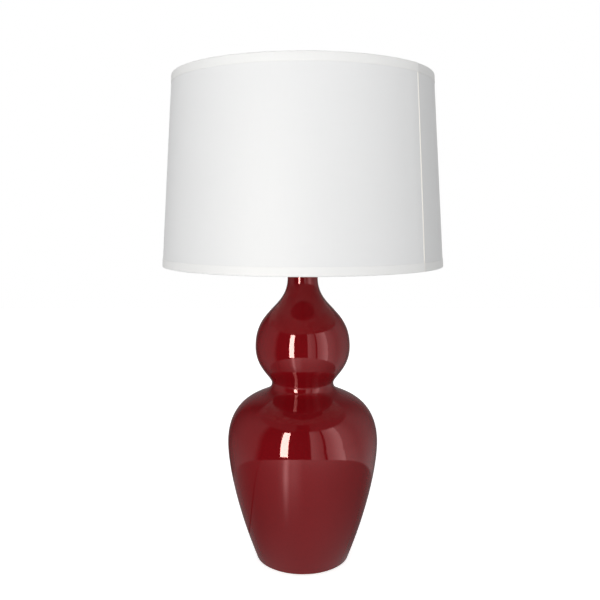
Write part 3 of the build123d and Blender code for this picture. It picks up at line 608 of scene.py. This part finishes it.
def body_outline():
    """(radii, heights) up the outside of the clay, read from its rings and made smooth."""
    mesh = NODES["gourd_body"].data
    rings = {}
    for polygon in mesh.polygons:
        centre = polygon.center
        outward = Vector((centre.x, centre.y, 0)).normalized()
        if centre.y < 0 and polygon.normal.dot(outward) > OUTWARD_LEAST:
            for index in polygon.vertices:
                point = mesh.vertices[index].co
                rings[round(point.z, 5)] = math.hypot(point.x, point.y)
    heights = np.array(sorted(rings))
    radii = np.array([rings[height] for height in heights])
    slopes = np.gradient(radii, heights)
    wanted = np.concatenate([
        np.linspace(GLAZE_LOW, GLAZE_FOOT, GLAZE_FOOT_ROWS)[:-1],
        np.linspace(GLAZE_FOOT, GLAZE_HIGH, GLAZE_ROWS),
    ])
    upper = np.clip(np.searchsorted(heights, wanted), 1, len(heights) - 1)
    lower = upper - 1
    gap = heights[upper] - heights[lower]
    share = np.clip((wanted - heights[lower]) / gap, 0, 1)
    rest = 1 - share
    start = (1 + 2 * share) * rest**2 * radii[lower] + share * rest**2 * gap * slopes[lower]
    end = share**2 * (3 - 2 * share) * radii[upper] + share**2 * (share - 1) * gap * slopes[upper]
    return start + end, wanted


def make_glaze():
    """The glaze coat: a thin skin over the clay that swells to a bead above the foot."""
    radii, heights = body_outline()
    slope = np.gradient(radii, heights)
    length = np.hypot(1, slope)
    out, up = 1 / length, -slope / length
    above_foot, below_top = heights - GLAZE_LOW, GLAZE_HIGH - heights
    bead = GLAZE_BEAD * np.exp(-((above_foot - GLAZE_BEAD_RISE) / GLAZE_BEAD_SPREAD) ** 2)
    foot_round = np.clip(above_foot / GLAZE_FOOT_ROUND, ROUND_LEAST, 1)
    top_round = np.clip(below_top / GLAZE_TOP_ROUND, ROUND_LEAST, 1)
    depth = (GLAZE_THICK + bead) * np.sqrt(foot_round * top_round)
    bearings = np.linspace(0, TURN, GLAZE_COLUMNS, endpoint=False)[:, None]
    nominal = on_circle(radii, bearings, heights)
    uneven = 1 + GLAZE_UNEVEN * ripple(nominal, scale=14.0, seed=3.0)
    face = on_circle(radii + out * depth * uneven, bearings, heights + up * depth * uneven)
    back = on_circle(radii + out * CLEARANCE, bearings, heights + up * CLEARANCE)
    return cut_cord_hole(thick_sheet("glaze_coat", face, back, closed=True))


def cut_cord_hole(coat):
    """The glaze was wiped back to a clean hole round the cord bushing."""
    shaped = bmesh.new()
    bmesh.ops.create_cone(
        shaped,
        cap_ends=True,
        segments=HOLE_SIDES,
        radius1=CORD_HOLE,
        radius2=CORD_HOLE,
        depth=HOLE_DEPTH,
    )
    bmesh.ops.rotate(
        shaped,
        verts=shaped.verts,
        matrix=Vector((0, 0, 1)).rotation_difference(Vector((0, 1, 0))).to_matrix(),
    )
    bmesh.ops.translate(shaped, verts=shaped.verts, vec=(0, HOLE_PLACE, CORD_HEIGHT))
    mesh = bpy.data.meshes.new("cord_hole_cutter")
    shaped.to_mesh(mesh)
    shaped.free()
    cutter = bpy.data.objects.new("cord_hole_cutter", mesh)
    bpy.context.scene.collection.objects.link(cutter)
    cut = coat.modifiers.new("cord_hole", "BOOLEAN")
    cut.operation, cut.solver, cut.object = "DIFFERENCE", "EXACT", cutter
    bpy.context.view_layer.update()
    ready = coat.evaluated_get(bpy.context.evaluated_depsgraph_get())
    coat.data = bpy.data.meshes.new_from_object(ready)
    coat.modifiers.clear()
    bpy.data.objects.remove(cutter)
    return coat


# ------------------------------------------------------------------ shade


def shade_radius(height):
    share = (SHADE_HIGH - height) / (SHADE_HIGH - SHADE_LOW)
    return SHADE_HIGH_R + share * (SHADE_LOW_R - SHADE_HIGH_R)


def seam_bearing(height):
    share = (height - SHADE_LOW) / (SHADE_HIGH - SHADE_LOW)
    return SEAM_LOW + share * (SEAM_HIGH - SEAM_LOW)


def lap_lift(to_end):
    """How far the last part of the cloth is lifted by the layer that it laps."""
    return (CLOTH + CLEARANCE) * (1 - smoothstep(to_end, LAP, LAP + LAP_EASE))


def make_cloth():
    """The shade's cloth: one sheet rolled round, its folded end lapped over its start."""
    whole = TURN * SHADE_MEAN_R + LAP
    to_end = np.concatenate([
        np.linspace(whole, CLOTH_COARSE, CLOTH_COLUMNS),
        np.geomspace(*CLOTH_FINE, CLOTH_END_COLUMNS),
        [0],
    ])
    low, high = SHADE_LOW + CLOTH_INSET, SHADE_HIGH - CLOTH_INSET
    heights = np.concatenate([
        np.linspace(low, low + CLOTH_EDGE_BAND, CLOTH_EDGE_ROWS)[:-1],
        np.linspace(low + CLOTH_EDGE_BAND, high - CLOTH_EDGE_BAND, CLOTH_ROWS),
        np.linspace(high - CLOTH_EDGE_BAND, high, CLOTH_EDGE_ROWS)[1:],
    ])
    from_edge = np.minimum(heights - SHADE_LOW, SHADE_HIGH - heights)
    open_cloth = smoothstep(from_edge, HEM_HIDDEN, HEM_OPEN)
    hem = HEM_BEAD * (1 - smoothstep(to_end, *HEM_EASE))
    thick = CLOTH + hem[:, None] * open_cloth
    bearings = seam_bearing(heights) - (to_end / SHADE_MEAN_R)[:, None]
    radii = shade_radius(heights)
    nominal = on_circle(radii, bearings, heights)
    even = smoothstep(from_edge, TRIM_WIDTH, CLOTH_EVEN_BAND)
    uneven = CLOTH_UNEVEN * (1 + ripple(nominal, scale=21.0, seed=5.0)) * even
    back = -CLOTH + CLEARANCE + lap_lift(to_end)[:, None] + uneven
    front = back + thick
    half, middle = thick / 2, (front + back) / 2
    end_round = np.sqrt(1 - (1 - np.clip(to_end[:, None] / half, ROUND_LEAST, 1)) ** 2)
    face = on_circle(radii + middle + half * end_round, bearings, heights)
    reverse = on_circle(radii + middle - half * end_round, bearings, heights)
    return thick_sheet("shade_cloth", face, reverse, closed=False)


def trim_section():
    """A folded trim from hem to tuck, as the face's offsets outward and drops from the shade's
    edge, and then the back's."""
    middle, half, crown = TRIM_MIDDLE, TRIM_HALF, TRIM_CROWN
    turn = np.linspace(0, math.pi, TRIM_ARC)
    along, over = np.cos(turn), np.sin(turn)
    along = np.sign(along) * np.abs(along) ** TRIM_BOXY
    over = np.abs(over) ** TRIM_BOXY
    outside, inside = np.array(TRIM_FACE_DROPS), np.array(TRIM_TUCK_DROPS)
    face_out = np.concatenate(
        [np.full(outside.size, half), half * along, np.full(inside.size, -half)]
    )
    face_drop = np.concatenate([outside, crown * (1 - over), inside])
    back_out = np.concatenate(
        [
            np.full(outside.size, half - TRIM),
            (half - TRIM) * along,
            np.full(inside.size, TRIM - half),
        ]
    )
    back_drop = np.concatenate([outside, crown - (crown - TRIM) * over, inside])
    edge = np.ones(face_out.size)
    edge[[0, -1]], edge[[1, -2]] = TRIM_EDGES
    centre_out, centre_drop = (face_out + back_out) / 2, (face_drop + back_drop) / 2
    spread_out, spread_drop = (face_out - back_out) / 2 * edge, (face_drop - back_drop) / 2 * edge
    return (
        middle + centre_out + spread_out,
        centre_drop + spread_drop,
        middle + centre_out - spread_out,
        centre_drop - spread_drop,
    )


def make_trim(name, edge, up, notches):
    """Bias tape folded over an edge of the shade and its wire, cut away round the arms."""
    face_out, face_drop, back_out, back_drop = trim_section()
    whole = TURN * SHADE_MEAN_R
    to_end = np.concatenate([
        np.linspace(whole, TRIM_COARSE, TRIM_COLUMNS),
        np.linspace(TRIM_FINE, 0, TRIM_END_COLUMNS),
    ])[:, None]
    outer_side = np.clip((face_out + TRIM_INNER) / TRIM_ACROSS, 0, 1)
    lift = TRIM_LIFT + lap_lift(to_end) * smoothstep(outer_side, TRIM_LIFTS, 1.0)
    bearing = seam_bearing(edge) - to_end / SHADE_MEAN_R
    limit = np.full(to_end.shape, 1.0)
    for notch in notches:
        away = np.abs((bearing - math.radians(notch) + math.pi) % TURN - math.pi) * SHADE_HIGH_R
        limit = np.minimum(limit, smoothstep(away, *ARM_NOTCH))
    cap = TRIM_STUB + limit * TRIM_TUCK
    inner_side = outer_side < 0.5
    sides = []
    for out, drop in ((face_out, face_drop), (back_out, back_drop)):
        drop = np.where(inner_side, np.minimum(drop, cap), drop)
        height = edge - up * drop
        nominal = on_circle(SHADE_MEAN_R, bearing, height)
        soft = TRIM_SOFT * ripple(nominal, scale=90.0, seed=8.0 + up)
        swell = TRIM_SWELL * (1 + ripple(nominal, scale=40.0, seed=2.0 + up))
        radius = shade_radius(height) + out + lift + swell
        sides.append(on_circle(radius, bearing, height + up * soft))
    return thick_sheet(name, sides[0], sides[1], closed=False)


def make_shade():
    cloth = place(make_cloth(), linen(), "shade", "white_linen", "shade_fabric")
    tape = trim_tape()
    upper = make_trim("top_trim_tape", SHADE_HIGH, 1, ARM_BEARINGS)
    lower = make_trim("bottom_trim_tape", SHADE_LOW, -1, ())
    top = place(upper, tape, "shade", "white_linen", "top_trim")
    bottom = place(lower, tape, "shade", "white_linen", "bottom_trim")


# ------------------------------------------------------------------ small pieces


def make_felt():
    """The felt ring under the foot: rounded, slightly ragged edges and a lumpy face."""
    turn = np.linspace(-math.pi / 2, math.pi / 2, FELT_ARC)
    middle, half = (FELT_IN + FELT_OUT) / 2, (FELT_OUT - FELT_IN) / 2
    across = np.sin(turn)
    across = np.sign(across) * np.abs(across) ** FELT_BOXY
    thick = np.cos(turn) ** FELT_BOXY
    bearings = np.linspace(0, TURN, FELT_COLUMNS, endpoint=False)[:, None]
    nominal = on_circle(middle + half * across, bearings, 0.0)
    ragged = FELT_RAGGED * ripple(nominal, scale=700.0, seed=1.0) * np.abs(across)
    radii = middle + (half - FELT_SIDE_GAP) * across + ragged
    lumps = FELT_LUMPS * (1 + ripple(nominal, scale=420.0, seed=6.0))
    centre = FELT_THICK / 2
    top = on_circle(radii, bearings, centre + (centre - FELT_FACE_GAP) * thick)
    bottom = on_circle(radii, bearings, centre - (centre - FELT_FACE_GAP - lumps) * thick)
    pad = thick_sheet("felt_pad", top, bottom, closed=True)
    place(pad, felt(), "lamp_base", "grey_felt", "felt_ring")


def make_thread(metal):
    """The thread on the pipe's end, below its nut, as a fine helical ridge."""
    turns = (NUT_LOW - PIPE_LOW - THREAD_ENDS) / THREAD_PITCH
    along = np.arange(int(turns * THREAD_STEPS))
    half_turn = THREAD_STEPS / 2
    bearings = (along / THREAD_STEPS * TURN)[:, None]
    rise = (PIPE_LOW + THREAD_START + along / THREAD_STEPS * THREAD_PITCH)[:, None]
    fade_in = smoothstep(along, 0, half_turn)
    fade = fade_in * smoothstep(-along, 1 - along.size, half_turn - along.size)
    section = np.array(THREAD_SECTION)
    height = rise + section * THREAD_PITCH * THREAD_SHARE
    ridge = np.array(THREAD_PROFILE) * THREAD_CREST * fade[:, None]
    face = on_circle(PIPE_RADIUS + THREAD_GAP + ridge, bearings, height)
    back = on_circle(PIPE_RADIUS - THREAD_ROOT, bearings, height)
    place(thick_sheet("pipe_thread", face, back, closed=False), metal, "lamp_base", "zinc_steel")


def dress_nodes():
    """Every CAD node that stays in view gets its finish."""
    metal = zinc()
    satin = brass()
    nickel = plated("nickel", NICKEL, roughness=0.2, scale=90.0)
    rubber = moulded(
        "black_rubber", RUBBER, roughness=0.72, grain=900.0, depth=0.03 * MM, dust=0.16
    )
    nylon = moulded("black_nylon", NYLON, roughness=0.42, grain=1400.0, depth=0.01 * MM)
    phenolic = moulded("phenolic", PHENOLIC, roughness=0.30, grain=1800.0, depth=0.008 * MM)
    knob = moulded("knob_black", KNOB, roughness=0.28, grain=1600.0, depth=0.008 * MM)
    bead = moulded(
        "bulb_black", GLASS_BEAD, roughness=0.10, grain=500.0, depth=0.01 * MM, dust=0.02
    )
    wire = coated_wire()
    finishes = {
        clay(): ("gourd_body",),
        nylon: ("cord_bushing", "pipe_bushing"),
        metal: ("lamp_pipe", "steel_washer", "lock_washer", "hex_nut"),
        rubber: ("rubber_washer",),
        satin: ("vase_cap", "check_ring", "neck_spacer", "harp_saddle", "harp_wire", "harp_top",
                "ferrule_left", "ferrule_right", "socket_cap", "cap_set_screw", "socket_shell",
                "terminal_screws", "centre_contact", "switch_stem", "finial"),
        fibre_card(): ("shell_insulator",),
        phenolic: ("socket_body",),
        nickel: ("screw_shell", "bulb_base"),
        knob: ("switch_knob",),
        plated("solder", SOLDER, roughness=0.36, scale=300.0): ("bulb_contact",),
        bead: ("bulb_insulator",),
        bulb_glass(): ("bulb_glass",),
        styrene(): ("shade_liner",),
        wire: ("top_ring", "bottom_ring", "spider"),
    }
    for material, nodes in finishes.items():
        for node in nodes:
            NODES[node].data.materials.clear()
            NODES[node].data.materials.append(material)
    return metal


# ------------------------------------------------------------------ studio


def make_camera():
    data = bpy.data.cameras.new("camera")
    data.lens, data.sensor_width = CAMERA_LENS, CAMERA_SENSOR
    camera = bpy.data.objects.new("camera", data)
    camera.location = CAMERA_PLACE
    camera.rotation_euler = (math.pi / 2 - CAMERA_DOWN, 0, 0)
    bpy.context.scene.collection.objects.link(camera)
    bpy.context.scene.camera = camera


def seen_straight(graph):
    """(1 for a ray from the camera or through glass, 1 for a mirror ray)."""
    path = graph.add("LightPath").outputs
    straight = graph.math("MAXIMUM", path["Is Camera Ray"], path["Is Transmission Ray"])
    return straight, path["Is Glossy Ray"]


def compass(graph, x, y):
    """The bearing of a place or direction, in degrees."""
    return graph.math("DEGREES", graph.math("ARCTAN2", x, graph.times(y, -1.0)))


def room(graph, azimuth):
    """How bright the room is to mirror rays at a bearing: dark in front, with a dim wall on
    the left, two soft windows on the right and a duller wall behind."""
    left = graph.times(
        graph.window(azimuth, *LEFT_WALL, LEFT_SOFT), graph.ease(azimuth, *LEFT_FADE, *LEFT_TONE)
    )
    near = graph.times(
        graph.window(azimuth, *NEAR_WINDOW, WINDOW_SOFT),
        graph.ease(azimuth, *NEAR_WINDOW, *NEAR_TONE),
    )
    fall = graph.times(
        graph.ease(azimuth, *FAR_FALL, *FAR_TONE), graph.ease(azimuth, *FAR_END, 1.0, FAR_END_SHARE)
    )
    far = graph.times(graph.window(azimuth, *FAR_WINDOW, WINDOW_SOFT), fall)
    glare = graph.times(
        graph.ease(azimuth, *GLARE_RISE, 0.0, GLARE_TONE), graph.ease(azimuth, *GLARE_END, 1.0, 0.0)
    )
    behind = graph.ease(graph.math("ABSOLUTE", azimuth), *BACK_WALL, *BACK_TONE)
    walls = graph.plus(graph.plus(near, far), graph.plus(left, glare))
    return graph.math("MAXIMUM", walls, behind)


def table(graph, x, y, azimuth, away):
    """How bright the floor is to mirror rays: fuller in front, darker to the left, with painted
    shadow to the right and near the lamp, the strip's sheen, and a dark line on the left, darker
    beyond it."""
    # darker to the left, and a painted shadow of the lamp to the right
    tone = graph.times(
        graph.ease(azimuth, *TABLE_LEFT, *TABLE_LEFT_TONE),
        graph.ease(azimuth, *TABLE_RIGHT_SHADOW, 1.0, TABLE_RIGHT_SHADOW_SHARE),
    )
    # painted shadow near the lamp
    tone = graph.times(tone, graph.ease(away, *TABLE_NEAR_SHADOW, TABLE_NEAR_SHADOW_SHARE, 1.0))
    core = graph.times(graph.window(azimuth, *SHEEN_CORE, CORE_SOFT), CORE_TONE)
    skirt = graph.times(graph.window(azimuth, *SHEEN_SKIRT, SKIRT_SOFT), SKIRT_TONE)
    sheen = graph.times(graph.plus(core, skirt), graph.ease(away, *SHEEN_NEAR))
    # a dark line on the left, with the floor a little darker beyond it
    along = (Vector(DARK_LINE_END) - Vector(DARK_LINE_START)).normalized()
    start = DARK_LINE_START[1] * along.x - DARK_LINE_START[0] * along.y
    beside = graph.minus(graph.times(y, along.x), graph.times(x, along.y))
    off = graph.minus(beside, start)
    dark_line = graph.window(off, -DARK_LINE_HALF, DARK_LINE_HALF, DARK_LINE_HALF)
    tone = graph.times(
        tone, graph.ease(off, -DARK_LINE_HALF, DARK_LINE_HALF, start=1.0, end=BEYOND_DARK_LINE)
    )
    tone = graph.choose(graph.times(dark_line, DARK_LINE_DEPTH), tone, 0.0)
    return graph.plus(tone, sheen)


def lobe(graph, direction, spread):
    """A soft light: 1 towards its direction, falling to 0 round it."""
    facing = graph.add("VectorMath", {0: graph.spot, 1: direction}, operation="DOT_PRODUCT")
    return graph.math("POWER", graph.math("MAXIMUM", facing.outputs["Value"], 0.0), spread)


def make_world():
    """White behind the lamp. Its light is a soft sky, a broad key from the front left and a
    fill from behind, and mirror rays see the room, or a dim ceiling above it."""
    world = bpy.data.worlds.new("studio")
    world.use_nodes = True
    bpy.context.scene.world = world
    graph = Graph(world.node_tree, "Generated")
    straight, mirrored = seen_straight(graph)
    x, y, z = graph.split(graph.spot)
    azimuth = compass(graph, x, y)
    elevation = graph.math("DEGREES", graph.math("ARCSINE", z))
    soft = graph.math("MULTIPLY_ADD", lobe(graph, KEY_DIRECTION, KEY_SPREAD), KEY, SKY)
    soft = graph.math("MULTIPLY_ADD", lobe(graph, FILL_DIRECTION, FILL_SPREAD), FILL, soft)
    ceiling = graph.times(
        graph.ease(elevation, *CEILING, *CEILING_TONE),
        graph.ease(
            graph.window(azimuth, *CEILING_GAP, GAP_SOFT),
            low=0.0,
            high=1.0,
            start=1.0,
            end=GAP_SHARE,
        ),
    )
    shiny = graph.choose(graph.ease(elevation, *ROOM_HEIGHT), room(graph, azimuth), ceiling)
    strength = graph.choose(straight, graph.choose(mirrored, soft, shiny), 1.0)
    backdrop = world.node_tree.nodes["Background"]
    backdrop.inputs["Color"].default_value = (1, 1, 1, 1)
    graph.feed(backdrop.inputs["Strength"], strength)


def make_floor():
    """A pale floor. Mirror rays see only a table's worth of it, with the strip's sheen on it."""
    mesh = bpy.data.meshes.new("floor")
    half = FLOOR_HALF
    corners = [(-half, -half, 0), (half, -half, 0), (half, half, 0), (-half, half, 0)]
    mesh.from_pydata(corners, [], [(0, 1, 2, 3)])
    floor = bpy.data.objects.new("floor", mesh)
    bpy.context.scene.collection.objects.link(floor)
    material = bpy.data.materials.new("floor_pale")
    material.use_nodes = True
    tree = material.node_tree
    tree.nodes.remove(tree.nodes["Principled BSDF"])
    graph = Graph(tree)
    straight, mirrored = seen_straight(graph)
    x, y, _ = graph.split(graph.spot)
    away = graph.add("VectorMath", {0: graph.spot}, operation="LENGTH").outputs["Value"]
    across = graph.math("POWER", graph.math("DIVIDE", x, TABLE_HALF_WIDTH), 2.0)
    depth = graph.math("DIVIDE", graph.minus(y, TABLE_CENTRE), TABLE_HALF_DEPTH)
    spread = graph.plus(across, graph.math("POWER", depth, 2.0))
    azimuth = compass(graph, x, y)
    seen = graph.choose(
        graph.ease(spread, *TABLE_EDGE), table(graph, x, y, azimuth, away), room(graph, azimuth)
    )
    diffuse = graph.add("BsdfDiffuse", {"Color": graph.choose(mirrored, FLOOR_TONE, 0.0)})
    # painted bounce light: the floor glows to diffuse rays, less near the lamp as painted shade
    bounce = graph.times(graph.ease(away, *BOUNCE_NEAR), FLOOR_BOUNCE)
    glow_seen = graph.times(straight, FLOOR_GLOW)
    strength = graph.choose(mirrored, graph.choose(straight, bounce, glow_seen), seen)
    glow = graph.add("Emission", {"Strength": strength})
    both = graph.add("AddShader", {0: diffuse.outputs[0], 1: glow.outputs[0]})
    graph.feed(tree.nodes["Material Output"].inputs["Surface"], both.outputs[0])
    mesh.materials.append(material)


def make_strip():
    """The narrow softbox whose streak runs down the glaze. Only mirror rays see it."""
    data = bpy.data.lights.new("strip", "AREA")
    data.shape = "RECTANGLE"
    data.size, data.size_y = STRIP_SIZE
    data.energy = STRIP_POWER
    data.color = STRIP_COLOR
    strip = bpy.data.objects.new("strip", data)
    strip.location = STRIP_PLACE
    aim = Vector((0, 0, STRIP_PLACE[2])) - Vector(STRIP_PLACE)
    strip.rotation_euler = aim.to_track_quat("-Z", "Y").to_euler()
    strip.visible_diffuse = False
    strip.visible_camera = False
    strip.visible_transmission = False
    bpy.context.scene.collection.objects.link(strip)


# ------------------------------------------------------------------ the scene

make_camera()
bpy.context.scene.view_settings.view_transform = "Standard"
make_world()
make_floor()
make_strip()

steel = dress_nodes()
place(make_glaze(), glaze(), "lamp_base", "oxblood_glaze")
make_felt()
make_thread(steel)
make_shade()
